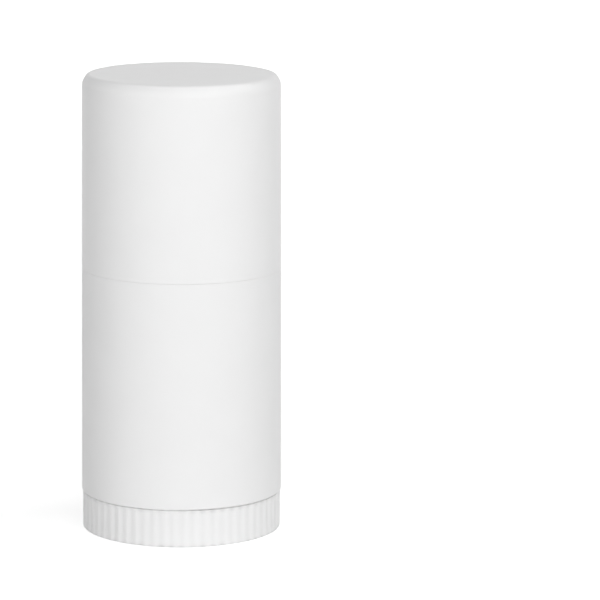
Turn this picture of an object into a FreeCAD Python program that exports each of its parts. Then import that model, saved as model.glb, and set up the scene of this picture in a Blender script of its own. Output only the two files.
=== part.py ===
import FreeCAD, Part
import math
import os

from FreeCAD import Vector

# Lip balm stick: a capped barrel with a ribbed turning wheel at its foot. The wheel's screw
# lifts a threaded carrier, which pushes the balm out of the neck.
# Millimetres, +Z up, with the origin at the middle of the foot.

# Barrel, from the bore outwards
bore_radius = 6.8
neck_wall = 0.8
neck_height = 9.9
neck_rim_round = 0.3
skirt_height = 19.86
skirt_foot_round = 0.1
draft_angle = 0.24

# Bead low on the neck that the cap grips
bead_height_on_neck = 1.9
bead_length = 1.2
bead_clearance = 0.06

# Guide ribs in the bore, which keep the carrier from turning
guide_count = 4
guide_height = 0.35
guide_width = 0.9
guide_below_rim = 1.0

# Snap lip at the foot of the bore, which holds the wheel's collar
lip_reach = 1.2
lip_height = 1.5
lip_round = 0.2

# Cap
cap_clearance = 0.25
cap_wall = 0.89
cap_top_wall = 1.1
cap_inner_round = 0.6
cap_lead_in = 0.2
cap_headroom = 4.75
cap_seat_gap = 0.012

# Bevel round the cap's top, with a rounding above and below it
bevel_width = 0.45
bevel_height = 0.7
bevel_upper_round = 0.48
bevel_lower_round = 1.1

# Grip ribs inside the cap, above the neck's bead
cap_rib_count = 8
cap_rib_width = 0.5
cap_rib_length = 5.0
cap_rib_above_bead = 1.2

# Turning wheel
wheel_height = 3.29
wheel_inset = 0.09
wheel_gap = 0.03
wheel_top_round = 0.2
foot_round = 0.03
foot_ring_width = 1.6
foot_recess_depth = 1.2
foot_recess_round = 0.3

# Finger ribs: low round ribs and hollows of equal width, all round the wheel
finger_rib_count = 60
finger_rib_height = 0.05

# Snap collar on the wheel
collar_clearance = 0.08
collar_wall = 1.0
collar_bead_reach = 0.4
collar_bead_height = 0.6
collar_bead_round = 0.15
collar_bead_gap = 0.1
collar_above_bead = 0.3
collar_slot_count = 4
collar_slot_width = 0.8
collar_slot_floor = 0.4

# Lift screw on the wheel, one left-hand start
screw_core_radius = 1.75
thread_height = 0.6
thread_root_width = 1.3
thread_crest_width = 0.6
thread_lead = 3.0
thread_start = 1.2
screw_below_rim = 4.15
screw_tip_bevel = 0.5

# Carrier: a cup with a threaded hub
carrier_rest_gap = 0.3
carrier_clearance = 0.08
carrier_edge_round = 0.15
cup_wall = 0.9
cup_floor = 1.0
cup_depth = 3.0
hub_wall = 0.9
hub_height = 4.8
thread_clearance = 0.12
guide_clearance = 0.1
fin_count = 4
fin_width = 0.7
fin_height = 2.0

# Balm
balm_clearance = 0.1
balm_seat_clearance = 0.05
balm_screw_clearance = 0.15
balm_above_rim = 1.3
balm_dome_height = 1.5
balm_edge_round = 0.8

# How far a cut runs past what it cuts, or a rib runs into its wall
overrun = 0.3

# Radii worked out from the bore outwards
neck_radius = bore_radius + neck_wall
cap_bore_radius = neck_radius + cap_clearance
seam_radius = cap_bore_radius + cap_wall
bead_radius = cap_bore_radius - bead_clearance
lip_radius = bore_radius - lip_reach
collar_radius = lip_radius - collar_clearance
collar_bead_radius = collar_radius + collar_bead_reach
collar_bore_radius = collar_radius - collar_wall
thread_crest_radius = screw_core_radius + thread_height
hub_radius = thread_crest_radius + thread_clearance + hub_wall
carrier_radius = bore_radius - carrier_clearance
cup_radius = carrier_radius - cup_wall

# Heights worked out from the foot upwards
barrel_bottom = wheel_height + wheel_gap
shoulder = barrel_bottom + skirt_height
neck_top = shoulder + neck_height
bead_middle = shoulder + bead_height_on_neck
lip_top = barrel_bottom + lip_height
cap_mouth = shoulder + cap_seat_gap
balm_top = neck_top + balm_above_rim
cap_ceiling = balm_top + cap_headroom
cap_top = cap_ceiling + cap_top_wall
collar_bead_bottom = lip_top + collar_bead_gap
collar_bead_top = collar_bead_bottom + collar_bead_height
collar_top = collar_bead_top + collar_above_bead
carrier_bottom = collar_top + carrier_rest_gap
cup_floor_top = carrier_bottom + cup_floor
cup_top = cup_floor_top + cup_depth
hub_top = carrier_bottom + hub_height
screw_top = neck_top - screw_below_rim

# The wheel stands a little inside the barrel's foot
wheel_radius = seam_radius + skirt_height * math.tan(math.radians(draft_angle)) - wheel_inset


def outside_radius(height):
    """Radius of the drafted outside of the cap and barrel, which widens towards the foot."""
    return seam_radius + (shoulder - height) * math.tan(math.radians(draft_angle))


def in_section(corner):
    """The point of a (radius, height, rounding) corner in the XZ plane."""
    return Vector(corner[0], 0, corner[1])


def outline(corners):
    """Closed wire in the XZ plane through (radius, height, rounding) corners."""
    entries = []
    exits = []
    arcs = []
    for index, corner in enumerate(corners):
        point = in_section(corner)
        to_last = (in_section(corners[index - 1]) - point).normalize()
        to_next = (in_section(corners[(index + 1) % len(corners)]) - point).normalize()
        rounding = corner[2]
        half_angle = to_last.getAngle(to_next) / 2
        reach = rounding / math.tan(half_angle)
        entry = point + to_last * reach
        leave = point + to_next * reach
        entries.append(entry)
        exits.append(leave)
        if rounding > 0:
            inward = (to_last + to_next).normalize()
            middle = point + inward * (rounding / math.sin(half_angle) - rounding)
            arcs.append(Part.Arc(entry, middle, leave).toShape())
        else:
            arcs.append(None)
    edges = []
    for index, arc in enumerate(arcs):
        if arc is not None:
            edges.append(arc)
        next_entry = entries[(index + 1) % len(corners)]
        edges.append(Part.LineSegment(exits[index], next_entry).toShape())
    return Part.Wire(edges)


def revolved(corners):
    """Solid turned round the stick's axis from its half section."""
    return Part.Face(outline(corners)).revolve(Vector(), Vector(0, 0, 1), 360)


def spokes(count, first_angle, inner_radius, outer_radius, width, bottom, top):
    """Equal radial blocks round the axis, as one compound."""
    corner = Vector(inner_radius, -width / 2, bottom)
    block = Part.makeBox(outer_radius - inner_radius, width, top - bottom, corner)
    blocks = []
    for index in range(count):
        angle = first_angle + 360 * index / count
        blocks.append(block.rotated(Vector(), Vector(0, 0, 1), angle))
    return Part.Compound(blocks)


def threaded_rod(clearance, bottom, top):
    """Left-hand threaded rod, larger all round by the clearance where it cuts a hub."""
    core_radius = screw_core_radius + clearance
    crest_radius = thread_crest_radius + clearance
    root_half = thread_root_width / 2 + clearance
    crest_half = thread_crest_width / 2 + clearance
    sunk_radius = screw_core_radius - overrun

    # The thread's place on the helix is the same for the rod and for the cut
    helix_bottom = wheel_height - thread_lead
    helix = Part.makeHelix(thread_lead, screw_top + thread_lead - helix_bottom, crest_radius, 0, True)
    helix.translate(Vector(0, 0, helix_bottom))
    points = [
        Vector(sunk_radius, 0, helix_bottom - root_half),
        Vector(core_radius, 0, helix_bottom - root_half),
        Vector(crest_radius, 0, helix_bottom - crest_half),
        Vector(crest_radius, 0, helix_bottom + crest_half),
        Vector(core_radius, 0, helix_bottom + root_half),
        Vector(sunk_radius, 0, helix_bottom + root_half),
    ]
    profile = Part.makePolygon(points + points[:1])
    thread = Part.Wire(helix.Edges).makePipeShell([profile], True, True)
    reach = crest_radius + overrun
    span = Part.makeCylinder(reach, top - bottom, Vector(0, 0, bottom))
    core = Part.makeCylinder(core_radius, top - bottom, Vector(0, 0, bottom))
    return core.fuse(thread.common(span))


def ribbed_prism(height):
    """The wheel's rim as a prism: round hollows and round ribs in turn, each half a pitch wide."""
    pitch = 2 * math.pi / finger_rib_count
    middle_radius = wheel_radius - finger_rib_height / 2

    def on_circle(radius, angle):
        return Vector(radius * math.cos(angle), radius * math.sin(angle), 0)

    edges = []
    for index in range(finger_rib_count):
        hollow = index * pitch
        start = on_circle(middle_radius, hollow - pitch / 4)
        bottom = on_circle(wheel_radius - finger_rib_height, hollow)
        end = on_circle(middle_radius, hollow + pitch / 4)
        crest = on_circle(wheel_radius, hollow + pitch / 2)
        next_start = on_circle(middle_radius, hollow + 3 * pitch / 4)
        edges.append(Part.Arc(start, bottom, end).toShape())
        edges.append(Part.Arc(end, crest, next_start).toShape())
    return Part.Face(Part.Wire(edges)).extrude(Vector(0, 0, height))


def make_cap():
    """Overcap: a drafted shell with a soft bevel round its top and grip ribs inside."""
    bevel_foot = cap_top - bevel_height
    shell = revolved([
        (0, cap_ceiling, 0),
        (cap_bore_radius, cap_ceiling, cap_inner_round),
        (cap_bore_radius, cap_mouth, cap_lead_in),
        (outside_radius(cap_mouth), cap_mouth, 0),
        (outside_radius(bevel_foot), bevel_foot, bevel_lower_round),
        (outside_radius(cap_top) - bevel_width, cap_top, bevel_upper_round),
        (0, cap_top, 0),
    ])
    rib_bottom = bead_middle + cap_rib_above_bead
    ribs = spokes(cap_rib_count, 0, neck_radius + bead_clearance, cap_bore_radius + overrun,
                  cap_rib_width, rib_bottom, rib_bottom + cap_rib_length)
    return shell.fuse(ribs)


def make_barrel():
    """Barrel: a drafted skirt, a neck with a bead, and a bore with a snap lip and guide ribs."""
    bead_half = bead_length / 2
    bead_round = bead_radius - neck_radius
    shell = revolved([
        (lip_radius, barrel_bottom, lip_round),
        (outside_radius(barrel_bottom), barrel_bottom, skirt_foot_round),
        (outside_radius(shoulder), shoulder, 0),
        (neck_radius, shoulder, 0),
        (neck_radius, bead_middle - bead_half, 0),
        (bead_radius, bead_middle - bead_half + bead_round, bead_round),
        (bead_radius, bead_middle + bead_half - bead_round, bead_round),
        (neck_radius, bead_middle + bead_half, 0),
        (neck_radius, neck_top, neck_rim_round),
        (bore_radius, neck_top, neck_rim_round),
        (bore_radius, lip_top, lip_round),
        (lip_radius, lip_top, lip_round),
    ])
    guides = spokes(guide_count, 180 / guide_count, bore_radius - guide_height, bore_radius + overrun,
                    guide_width, lip_top - overrun, neck_top - guide_below_rim)
    return shell.fuse(guides)


def make_turning_wheel():
    """Ribbed wheel with its snap collar and lift screw, one moulding."""
    blank = revolved([
        (0, foot_recess_depth, 0),
        (wheel_radius - foot_ring_width, foot_recess_depth, foot_recess_round),
        (wheel_radius - foot_ring_width, 0, foot_round),
        (wheel_radius, 0, foot_round),
        (wheel_radius, wheel_height, wheel_top_round),
        (0, wheel_height, 0),
    ])
    rim = blank.common(ribbed_prism(wheel_height))
    collar = revolved([
        (collar_bore_radius, wheel_height - overrun, 0),
        (collar_radius, wheel_height - overrun, 0),
        (collar_radius, collar_bead_bottom, 0),
        (collar_bead_radius, collar_bead_bottom, collar_bead_round),
        (collar_bead_radius, collar_bead_top, collar_bead_round),
        (collar_radius, collar_top, 0),
        (collar_bore_radius, collar_top, 0),
    ])
    slots = spokes(collar_slot_count, 0, collar_bore_radius - overrun, collar_bead_radius + overrun,
                   collar_slot_width, wheel_height + collar_slot_floor, collar_top + overrun)
    pointed = revolved([
        (0, wheel_height, 0),
        (thread_crest_radius + overrun, wheel_height, 0),
        (thread_crest_radius + overrun, screw_top - screw_tip_bevel, 0),
        (screw_core_radius, screw_top, 0),
        (0, screw_top, 0),
    ])
    screw = threaded_rod(0, wheel_height + thread_start, screw_top).common(pointed)
    shank_bottom = Vector(0, 0, wheel_height - overrun)
    shank = Part.makeCylinder(screw_core_radius, thread_start + overrun, shank_bottom)
    return rim.fuse([collar.cut(slots), shank, screw])


def make_carrier():
    """Carrier: a cup notched for the guide ribs, with a threaded hub and fins that hold the balm."""
    cup = revolved([
        (0, carrier_bottom, 0),
        (carrier_radius, carrier_bottom, carrier_edge_round),
        (carrier_radius, cup_top, carrier_edge_round),
        (cup_radius, cup_top, 0),
        (cup_radius, cup_floor_top, carrier_edge_round),
        (0, cup_floor_top, 0),
    ])
    hub = Part.makeCylinder(hub_radius, hub_height, Vector(0, 0, carrier_bottom))
    fins = spokes(fin_count, 0, hub_radius - overrun, cup_radius + overrun,
                  fin_width, cup_floor_top - overrun, cup_floor_top + fin_height)
    notches = spokes(guide_count, 180 / guide_count, bore_radius - guide_height - guide_clearance,
                     bore_radius + overrun, guide_width + 2 * guide_clearance,
                     carrier_bottom - overrun, cup_top + overrun)
    tap = threaded_rod(thread_clearance, carrier_bottom - overrun, hub_top + overrun)
    return cup.fuse([hub, fins]).cut(notches).cut(tap)


def make_balm():
    """Balm: a domed bullet cast on the carrier, round the screw and the guide ribs."""
    body_radius = bore_radius - balm_clearance
    dome_edge = balm_top - balm_dome_height
    body = revolved([
        (0, cup_top, 0),
        (body_radius, cup_top, 0),
        (body_radius, dome_edge, 0),
        (0, dome_edge, 0),
    ])
    dome_radius = (body_radius ** 2 + balm_dome_height ** 2) / (2 * balm_dome_height)
    ball = Part.makeSphere(dome_radius, Vector(0, 0, balm_top - dome_radius))
    over_body = Part.makeCylinder(body_radius, balm_dome_height, Vector(0, 0, dome_edge))
    bullet = body.fuse(ball.common(over_body)).removeSplitter()
    edges = [edge for edge in bullet.Edges if not edge.Degenerated]
    rounds = [edge for edge in edges if isinstance(edge.Curve, Part.Circle)]
    dome_rim = [edge for edge in rounds if math.isclose(edge.Curve.Center.z, dome_edge)]
    bullet = bullet.makeFillet(balm_edge_round, dome_rim)

    root = Part.makeCylinder(cup_radius - balm_seat_clearance - carrier_edge_round,
                             cup_top - cup_floor_top, Vector(0, 0, cup_floor_top))
    guides = spokes(guide_count, 180 / guide_count, bore_radius - guide_height - guide_clearance,
                    bore_radius + overrun, guide_width + 2 * guide_clearance,
                    cup_top - overrun, neck_top - guide_below_rim + guide_clearance)
    hub = Part.makeCylinder(hub_radius + balm_seat_clearance,
                            hub_top + balm_seat_clearance - cup_floor_top, Vector(0, 0, cup_floor_top))
    fins = spokes(fin_count, 0, hub_radius, cup_radius + overrun, fin_width + 2 * balm_seat_clearance,
                  cup_floor_top - overrun, cup_floor_top + fin_height + balm_seat_clearance)
    screw = Part.makeCylinder(thread_crest_radius + balm_screw_clearance,
                              screw_top + balm_screw_clearance - cup_floor_top, Vector(0, 0, cup_floor_top))
    return bullet.fuse(root).cut([guides, hub, fins, screw])


pieces = {
    "cap": make_cap,
    "barrel": make_barrel,
    "turning_wheel": make_turning_wheel,
    "carrier": make_carrier,
    "balm": make_balm,
}

os.makedirs("parts", exist_ok=True)
for name, make in pieces.items():
    shape = make().removeSplitter()
    shape.exportStep("parts/" + name + ".step")
    box = shape.optimalBoundingBox(False, False)
    print(name, "solids", len(shape.Solids), "valid", shape.isValid(), "volume", round(shape.Volume, 2),
          "from", round(box.ZMin, 3), "to", round(box.ZMax, 3), "across", round(box.XLength, 3))
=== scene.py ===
import math

import bpy
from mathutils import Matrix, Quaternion, Vector


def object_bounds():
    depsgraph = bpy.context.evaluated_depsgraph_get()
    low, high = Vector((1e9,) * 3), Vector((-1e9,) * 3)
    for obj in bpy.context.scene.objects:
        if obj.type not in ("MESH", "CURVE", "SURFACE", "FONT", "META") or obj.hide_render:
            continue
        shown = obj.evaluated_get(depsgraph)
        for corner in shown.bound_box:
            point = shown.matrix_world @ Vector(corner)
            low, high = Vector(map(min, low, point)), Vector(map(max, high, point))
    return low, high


# Lip balm stick: the finish of its white mouldings and of its balm, on a white studio floor.
# Metres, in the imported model's frame: +Z up, with the foot on the floor at the origin.

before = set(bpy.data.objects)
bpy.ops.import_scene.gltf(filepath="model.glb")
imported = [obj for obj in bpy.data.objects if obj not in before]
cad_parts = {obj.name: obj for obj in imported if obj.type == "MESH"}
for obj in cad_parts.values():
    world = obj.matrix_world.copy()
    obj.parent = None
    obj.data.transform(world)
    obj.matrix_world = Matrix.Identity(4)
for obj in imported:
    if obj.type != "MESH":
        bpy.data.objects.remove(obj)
cad_low, cad_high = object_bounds()

MM = 0.001

# Camera: the photograph's viewing angle and framing, and the nearest and farthest that it sees
image_width = 600
axis_column = 181.6
middle_row = 300.7
pixels_per_mm = 11.37
camera_distance = 330 * MM
camera_pitch = math.radians(10.83)
sensor_width = 36.0
nearest_seen = 3.3 * MM
farthest_seen = 20.0

# Lamps: direction from the object (degrees right of the camera, degrees up), distance, side, power,
# and whether the object shows a highlight of it; the wide lamps only fill, the small ones shine
lamps = {
    "front": (1, 2, 500 * MM, 1000 * MM, 6.12, False),
    "side": (80, 46, 500 * MM, 400 * MM, 0.2, True),
    "rim": (98, 44, 500 * MM, 220 * MM, 0.34, True),
    "back": (180, 3, 500 * MM, 300 * MM, 1.3, False),
}

# Surround: how bright it looks, and how much light it sheds on the object
surround_look = 1.0
surround_light = 0.23

# Floor: half its width, its shade, and the glow that makes it look white
floor_reach = 3.0
floor_shade = (0.8, 0.8, 0.8, 1)
floor_glow = 0.545

# Noises: size of a patch, steps of finer detail, and the strength of each finer step; nearly all of
# a noise's values lie from noise_low to noise_high
noises = {
    "grain": (0.12 * MM, 3.0, 0.5),
    "cloud": (4.0 * MM, 2.0, 0.5),
    "rub": (1.1 * MM, 4.0, 0.6),
    "shade_patch": (1.6 * MM, 2.0, 0.5),
    "wax_cloud": (3.0 * MM, 3.0, 0.5),
    "wax_smear": (0.5 * MM, 3.0, 0.6),
}
noise_low = 0.25
noise_high = 0.75

# Mouldings: name of the finish, shade, roughness, how milky, and whether painted shade darkens its
# grooves
mouldings = {
    "cap": ("cap_shell", (0.87, 0.87, 0.87), 0.33, 0.0, False),
    "barrel": ("barrel_shell", (0.87, 0.87, 0.87), 0.38, 0.0, False),
    "turning_wheel": ("wheel_moulding", (0.893, 0.893, 0.893), 0.4, 0.8, True),
    "carrier": ("carrier_moulding", (0.84, 0.84, 0.83), 0.5, 0.0, False),
}

# White plastic: the darkest shade of its clouds, how uneven its roughness is, the depth of its grain
# and sink, its refraction and shine, and how far light spreads in a milky moulding
cloud_darkest = 0.985
rough_spread = 0.04
grain_depth = 0.0012 * MM
sink_depth = 0.02 * MM
plastic_index = 1.49
plastic_shine = 0.3
milky_depth = 0.4 * MM

# Painted shade on the turning wheel, which has a gap above it: its white is darkened in the rib hollows,
# and more at the gap and the foot, where shade falls. How far the painted shade reaches from the gap and
# from the foot, how much lies all along a hollow, the shares of it that lie on a crest and in the
# thinnest patches near the ends, and the share of the white that it leaves where it is darkest
rib_count = 60
wheel_gap = 0.03 * MM
shade_at_gap = 0.45 * MM
shade_at_foot = 0.3 * MM
shade_in_hollow = 0.11
shade_on_crest = 0.15
shade_thinnest = 0.2
shade_darkest = 0.74

# Balm: its deeper and paler colour, its smoothest and roughest places, the depth of its smears, its
# refraction, and how much and how far light spreads in it
balm_deep = (0.72, 0.26, 0.26)
balm_pale = (0.82, 0.36, 0.35)
balm_smoothest = 0.3
balm_roughest = 0.42
smear_depth = 0.01 * MM
balm_index = 1.44
balm_milky = 0.6
balm_spread = (1.0, 0.45, 0.4)
balm_depth = 1.2 * MM


def node_tree(name):
    """A new material with its nodes, its links and its shader."""
    material = bpy.data.materials.new(name)
    material.use_nodes = True
    nodes = material.node_tree.nodes
    links = material.node_tree.links
    return material, nodes, links, nodes["Principled BSDF"]


def noise(nodes, links, place, kind):
    """One of the named noises over the object's own coordinates."""
    size, detail, roughness = noises[kind]
    texture = nodes.new("ShaderNodeTexNoise")
    texture.inputs["Scale"].default_value = 1 / size
    texture.inputs["Detail"].default_value = detail
    texture.inputs["Roughness"].default_value = roughness
    links.new(place, texture.inputs["Vector"])
    return texture.outputs["Fac"]


def maths(nodes, links, operation, first, second=0.0):
    """The result of an operation on two values, each a socket or a number."""
    node = nodes.new("ShaderNodeMath")
    node.operation = operation
    for value, socket in zip((first, second), node.inputs):
        if isinstance(value, bpy.types.NodeSocket):
            links.new(value, socket)
        else:
            socket.default_value = value
    return node.outputs["Value"]


def mapped(nodes, links, value, start, end, low, high):
    """A value from start to end, spread from low to high."""
    remap = nodes.new("ShaderNodeMapRange")
    remap.inputs["From Min"].default_value = start
    remap.inputs["From Max"].default_value = end
    remap.inputs["To Min"].default_value = low
    remap.inputs["To Max"].default_value = high
    links.new(value, remap.inputs["Value"])
    return remap.outputs["Result"]


def spread(nodes, links, value, low, high):
    """A noise's usual values, spread from low to high."""
    return mapped(nodes, links, value, noise_low, noise_high, low, high)


def tint(nodes, links, factor, first, second):
    """A colour between two, by the factor."""
    mix = nodes.new("ShaderNodeMix")
    mix.data_type = "RGBA"
    mix.inputs["A"].default_value = (*first, 1)
    mix.inputs["B"].default_value = (*second, 1)
    links.new(factor, mix.inputs["Factor"])
    return mix.outputs["Result"]


def darkened(nodes, links, factor, colour, darkest):
    """A colour that the factor darkens, down to the darkest share of it."""
    veil = nodes.new("ShaderNodeMix")
    veil.data_type = "RGBA"
    veil.blend_type = "MULTIPLY"
    links.new(factor, veil.inputs["Factor"])
    links.new(colour, veil.inputs["A"])
    veil.inputs["B"].default_value = (darkest, darkest, darkest, 1)
    return veil.outputs["Result"]


def bump(nodes, links, height, distance, normal=None):
    """A bump of the given depth in metres, over an earlier normal if there is one."""
    node = nodes.new("ShaderNodeBump")
    node.inputs["Distance"].default_value = distance
    links.new(height, node.inputs["Height"])
    if normal is not None:
        links.new(normal, node.inputs["Normal"])
    return node.outputs["Normal"]


def painted_groove_shade(nodes, links, place):
    """Painted shade on the turning wheel, 0 to 1: faint in its hollows, stronger at the gap and at the
    foot.
    """
    axes = nodes.new("ShaderNodeSeparateXYZ")
    links.new(place, axes.inputs["Vector"])
    angle = maths(nodes, links, "ARCTAN2", axes.outputs["Y"], axes.outputs["X"])
    wave = maths(nodes, links, "COSINE", maths(nodes, links, "MULTIPLY", angle, rib_count))
    hollow = mapped(nodes, links, wave, -1, 1, 0, 1)
    even = maths(nodes, links, "MULTIPLY", hollow, shade_in_hollow)

    # painted shadow under the barrel's overhang, reaching down from the gap, and painted shade at the
    # foot
    barrel_foot = min(corner[2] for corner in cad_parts["barrel"].bound_box)
    wheel_height = barrel_foot - wheel_gap
    at_gap = mapped(nodes, links, axes.outputs["Z"], wheel_height - shade_at_gap, wheel_height, 0, 1)
    at_foot = mapped(nodes, links, axes.outputs["Z"], shade_at_foot, 0, 0, 1)
    at_end = maths(nodes, links, "MAXIMUM", at_gap, at_foot)
    patch = spread(nodes, links, noise(nodes, links, place, "shade_patch"), shade_thinnest, 1)
    shade_at_ends = maths(nodes, links, "MULTIPLY", at_end, patch)
    over_ribs = mapped(nodes, links, wave, -1, 1, shade_on_crest, 1)
    ends = maths(nodes, links, "MULTIPLY", shade_at_ends, over_ribs)
    return maths(nodes, links, "MAXIMUM", even, ends)


def white_plastic(name, shade, roughness, milky, groove_shaded):
    """Injection-moulded white polypropylene: satin, with a fine tool texture and faint sink."""
    material, nodes, links, shader = node_tree(name)
    place = nodes.new("ShaderNodeTexCoord").outputs["Object"]
    grain = noise(nodes, links, place, "grain")
    cloud = noise(nodes, links, place, "cloud")
    rub = noise(nodes, links, place, "rub")

    cloudy = [cloud_darkest * c for c in shade]
    base = tint(nodes, links, spread(nodes, links, cloud, 0, 1), cloudy, shade)
    # on the wheel, painted shade darkens the white in the rib hollows, most at the gap and the foot
    if groove_shaded:
        base = darkened(nodes, links, painted_groove_shade(nodes, links, place), base, shade_darkest)
    links.new(base, shader.inputs["Base Color"])
    uneven = spread(nodes, links, rub, roughness - rough_spread, roughness + rough_spread)
    links.new(uneven, shader.inputs["Roughness"])
    sink = bump(nodes, links, cloud, sink_depth)
    links.new(bump(nodes, links, grain, grain_depth, sink), shader.inputs["Normal"])
    shader.inputs["IOR"].default_value = plastic_index
    shader.inputs["Specular IOR Level"].default_value = plastic_shine
    shader.inputs["Subsurface Weight"].default_value = milky
    shader.inputs["Subsurface Radius"].default_value = (1, 1, 1)
    shader.inputs["Subsurface Scale"].default_value = milky_depth
    return material


def balm_wax(name):
    """Soft cherry-tinted balm: a smooth wax with faint cloudiness and pour marks."""
    material, nodes, links, shader = node_tree(name)
    place = nodes.new("ShaderNodeTexCoord").outputs["Object"]
    cloud = noise(nodes, links, place, "wax_cloud")
    smear = noise(nodes, links, place, "wax_smear")
    base = tint(nodes, links, spread(nodes, links, cloud, 0, 1), balm_deep, balm_pale)
    links.new(base, shader.inputs["Base Color"])
    uneven = spread(nodes, links, smear, balm_smoothest, balm_roughest)
    links.new(uneven, shader.inputs["Roughness"])
    links.new(bump(nodes, links, smear, smear_depth), shader.inputs["Normal"])
    shader.inputs["IOR"].default_value = balm_index
    shader.inputs["Subsurface Weight"].default_value = balm_milky
    shader.inputs["Subsurface Radius"].default_value = balm_spread
    shader.inputs["Subsurface Scale"].default_value = balm_depth
    return material


def camera_sees(nodes, links):
    """1 for rays that the camera, a reflection or a clear material sends out, else 0."""
    path = nodes.new("ShaderNodeLightPath")
    seen = path.outputs["Is Camera Ray"]
    for kind in ("Is Glossy Ray", "Is Transmission Ray"):
        seen = maths(nodes, links, "MAXIMUM", seen, path.outputs[kind])
    return seen


def make_floor():
    """A wide pale floor that shows white and keeps the object's shadow."""
    corners = [(x * floor_reach, y * floor_reach, 0) for x, y in ((-1, -1), (1, -1), (1, 1), (-1, 1))]
    mesh = bpy.data.meshes.new("floor")
    mesh.from_pydata(corners, [], [(0, 1, 2, 3)])
    floor = bpy.data.objects.new("floor", mesh)
    bpy.context.scene.collection.objects.link(floor)
    material, nodes, links, shader = node_tree("floor_white")
    shader.inputs["Base Color"].default_value = floor_shade
    shader.inputs["Roughness"].default_value = 1.0
    shader.inputs["Specular IOR Level"].default_value = 0.0
    shader.inputs["Emission Color"].default_value = (1, 1, 1, 1)
    glow = maths(nodes, links, "MULTIPLY", camera_sees(nodes, links), floor_glow)
    links.new(glow, shader.inputs["Emission Strength"])
    mesh.materials.append(material)


def make_world():
    """A white surround that lights the object from all sides at a plain level."""
    world = bpy.data.worlds.new("studio")
    bpy.context.scene.world = world
    world.use_nodes = True
    nodes = world.node_tree.nodes
    links = world.node_tree.links
    background = nodes["Background"]
    background.inputs["Color"].default_value = (1, 1, 1, 1)
    strength = mapped(nodes, links, camera_sees(nodes, links), 0, 1, surround_light, surround_look)
    links.new(strength, background.inputs["Strength"])


def direction(azimuth, elevation):
    """Unit vector from the object, with azimuth in degrees to the right of the camera."""
    around = math.radians(azimuth)
    up = math.radians(elevation)
    return Vector((math.sin(around) * math.cos(up), -math.cos(around) * math.cos(up), math.sin(up)))


def make_lamps(target):
    """Square soft lamps round the object, which the camera doesn't see."""
    for name, (azimuth, elevation, distance, side, power, shine) in lamps.items():
        light = bpy.data.lights.new(name, "AREA")
        light.size = side
        light.energy = power
        lamp = bpy.data.objects.new(name, light)
        bpy.context.scene.collection.objects.link(lamp)
        towards = direction(azimuth, elevation)
        lamp.location = target + towards * distance
        lamp.rotation_euler = (-towards).to_track_quat("-Z", "Y").to_euler()
        lamp.visible_camera = False
        lamp.visible_glossy = shine


def make_camera(target):
    """The photograph's camera: a long lens, turned aside so that the stick stands left of centre."""
    focal_pixels = pixels_per_mm * camera_distance / MM
    lens = bpy.data.cameras.new("camera")
    lens.sensor_width = sensor_width
    lens.lens = focal_pixels * sensor_width / image_width
    lens.clip_start = nearest_seen
    lens.clip_end = farthest_seen
    camera = bpy.data.objects.new("camera", lens)
    bpy.context.scene.collection.objects.link(camera)
    towards = direction(0, math.degrees(camera_pitch))
    camera.location = target + towards * camera_distance
    aim = (-towards).to_track_quat("-Z", "Y")
    aside = math.atan((image_width / 2 - axis_column) / focal_pixels)
    rise = math.atan((image_width / 2 - middle_row) / focal_pixels)
    turn = Quaternion((0, 1, 0), -aside)
    tip = Quaternion((1, 0, 0), -rise)
    camera.rotation_mode = "QUATERNION"
    camera.rotation_quaternion = aim @ turn @ tip
    bpy.context.scene.camera = camera


finishes = {node: white_plastic(*look) for node, look in mouldings.items()}
finishes["balm"] = balm_wax("balm_wax")
for node, material in finishes.items():
    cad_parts[node].material_slots[0].material = material

middle = Vector((0, 0, (cad_low.z + cad_high.z) / 2))
make_floor()
make_world()
make_lamps(middle)
make_camera(middle)
bpy.context.scene.view_settings.view_transform = "Standard"
